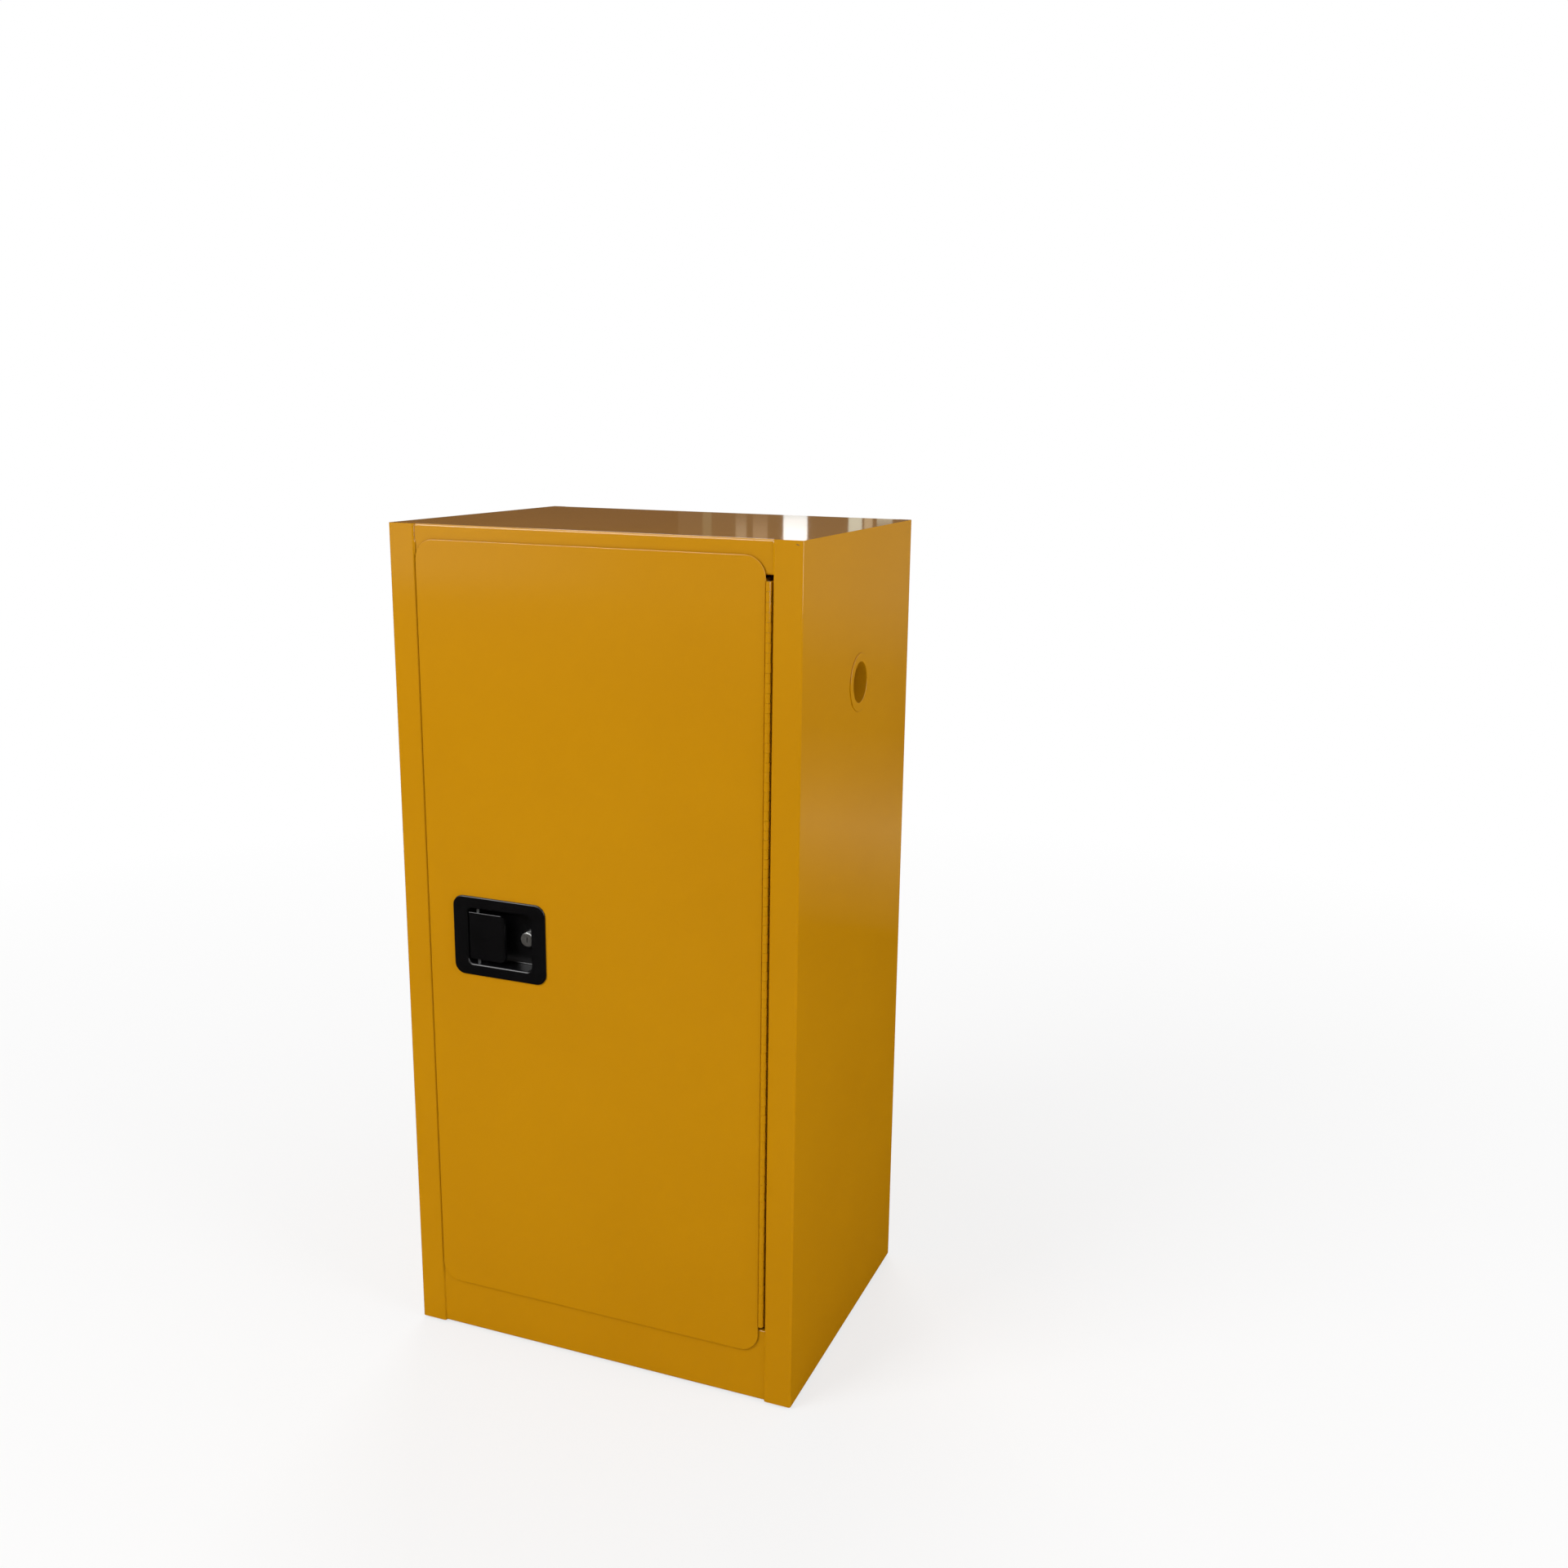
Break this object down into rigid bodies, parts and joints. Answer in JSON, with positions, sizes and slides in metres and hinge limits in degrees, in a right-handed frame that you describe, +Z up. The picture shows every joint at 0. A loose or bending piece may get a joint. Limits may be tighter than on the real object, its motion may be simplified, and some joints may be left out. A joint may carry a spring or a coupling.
{
  "type": "fire-resistant solvent cabinet",
  "caption": "Tall double-walled steel cabinet for solvents: right-hung door on a piano hinge, flush paddle latch with rods and key lock, side vents, tray shelves, spill sump and levelling feet.",
  "frame": {"origin": "middle of the footprint, on the floor under the levelling pads", "axes": "+X to the right as the user faces the door, +Y towards the back, +Z up"},
  "size_m": [0.6115, 0.4536, 1.2],
  "materials": {
    "yellow_powder_coat": "satin powder coat",
    "galvanised_steel": "galvanised",
    "zinc_plated_steel": "bright zinc",
    "black_enamel": "gloss enamel",
    "chrome_plate": "polished"
  },
  "bodies": {
    "cabinet": {"left_side_panel": "yellow_powder_coat", "right_side_panel": "yellow_powder_coat", "back_panel": "yellow_powder_coat", "top_panel": "yellow_powder_coat", "front_sill": "yellow_powder_coat", "latch_jamb": "yellow_powder_coat", "bottom_panel": "yellow_powder_coat", "liner_left": "yellow_powder_coat", "liner_right": "yellow_powder_coat", "liner_back": "yellow_powder_coat", "liner_top": "yellow_powder_coat", "sump_pan": "yellow_powder_coat", "sump_supports": "yellow_powder_coat", "wall_spacers": "yellow_powder_coat", "shelf_standards": "galvanised_steel", "upper_shelf_clips": "galvanised_steel", "lower_shelf_clips": "galvanised_steel", "right_vent_sleeve": "yellow_powder_coat", "right_vent_nut": "galvanised_steel", "right_flame_screen": "galvanised_steel", "left_vent_sleeve": "yellow_powder_coat", "left_vent_nut": "galvanised_steel", "left_flame_screen": "galvanised_steel", "earth_stud": "zinc_plated_steel", "earth_nut": "zinc_plated_steel", "foot_nuts": "zinc_plated_steel", "hinge_mounting_strip": "yellow_powder_coat", "hinge_frame_leaf": "yellow_powder_coat", "hinge_pin": "zinc_plated_steel", "hinge_frame_rivets": "zinc_plated_steel"},
    "door": {"door_skin": "yellow_powder_coat", "door_pan": "yellow_powder_coat", "door_stiffener": "yellow_powder_coat", "hinge_door_leaf": "yellow_powder_coat", "hinge_door_rivets": "zinc_plated_steel", "latch_bezel": "black_enamel", "latch_fixings": "zinc_plated_steel", "paddle_pin": "zinc_plated_steel", "paddle_spring": "zinc_plated_steel", "bolt_guides": "zinc_plated_steel", "rod_guides": "zinc_plated_steel", "lock_body": "chrome_plate", "lock_nut": "zinc_plated_steel"},
    "paddle": {"paddle": "black_enamel"},
    "side_bolt": {"side_bolt": "zinc_plated_steel"},
    "top_rod": {"top_rod": "zinc_plated_steel"},
    "bottom_rod": {"bottom_rod": "zinc_plated_steel"},
    "lock_plug": {"lock_plug": "chrome_plate", "lock_cam": "zinc_plated_steel"},
    "upper_shelf": {"upper_shelf": "galvanised_steel"},
    "lower_shelf": {"lower_shelf": "galvanised_steel"},
    "front_left_foot": {"front_left_foot": "zinc_plated_steel"},
    "front_right_foot": {"front_right_foot": "zinc_plated_steel"},
    "rear_left_foot": {"rear_left_foot": "zinc_plated_steel"},
    "rear_right_foot": {"rear_right_foot": "zinc_plated_steel"}
  },
  "joints": [
    {"name": "door_swing", "type": "hinge", "parent": "cabinet", "child": "door", "pos_m": [0.2545, -0.22325, 0.6], "axis": [0, 0, 1], "range_deg": [0, 160]},
    {"name": "paddle_pull", "type": "hinge", "parent": "door", "child": "paddle", "pos_m": [-0.1809, -0.22025, 0.629], "axis": [0, 0, -1], "range_deg": [0, 26], "stiffness_Nm_per_rad": 1.5, "springref_deg": -17.19},
    {"name": "side_bolt_slide", "type": "slide", "parent": "door", "child": "side_bolt", "axis": [1, 0, 0], "range_m": [0, 0.01325]},
    {"name": "top_rod_slide", "type": "slide", "parent": "door", "child": "top_rod", "axis": [0, 0, -1], "range_m": [0, 0.01325]},
    {"name": "bottom_rod_slide", "type": "slide", "parent": "door", "child": "bottom_rod", "axis": [0, 0, 1], "range_m": [0, 0.01325]},
    {"name": "lock_turn", "type": "hinge", "parent": "door", "child": "lock_plug", "pos_m": [-0.1089, -0.22325, 0.629], "axis": [0, 1, 0], "range_deg": [0, 90]},
    {"name": "upper_shelf_lift", "type": "slide", "parent": "cabinet", "child": "upper_shelf", "axis": [0, 0, 1], "range_m": [0, 0.03]},
    {"name": "lower_shelf_lift", "type": "slide", "parent": "cabinet", "child": "lower_shelf", "axis": [0, 0, 1], "range_m": [0, 0.03]},
    {"name": "front_left_foot_screw", "type": "slide", "parent": "cabinet", "child": "front_left_foot", "axis": [0, 0, -1], "range_m": [0, 0.012]},
    {"name": "front_right_foot_screw", "type": "slide", "parent": "cabinet", "child": "front_right_foot", "axis": [0, 0, -1], "range_m": [0, 0.012]},
    {"name": "rear_left_foot_screw", "type": "slide", "parent": "cabinet", "child": "rear_left_foot", "axis": [0, 0, -1], "range_m": [0, 0.012]},
    {"name": "rear_right_foot_screw", "type": "slide", "parent": "cabinet", "child": "rear_right_foot", "axis": [0, 0, -1], "range_m": [0, 0.012]}
  ],
  "couplings": [
    {"joint": "side_bolt_slide", "follows": "paddle_pull", "m_per_rad": 0.029084},
    {"joint": "top_rod_slide", "follows": "paddle_pull", "m_per_rad": 0.029084},
    {"joint": "bottom_rod_slide", "follows": "paddle_pull", "m_per_rad": 0.029084}
  ]
}
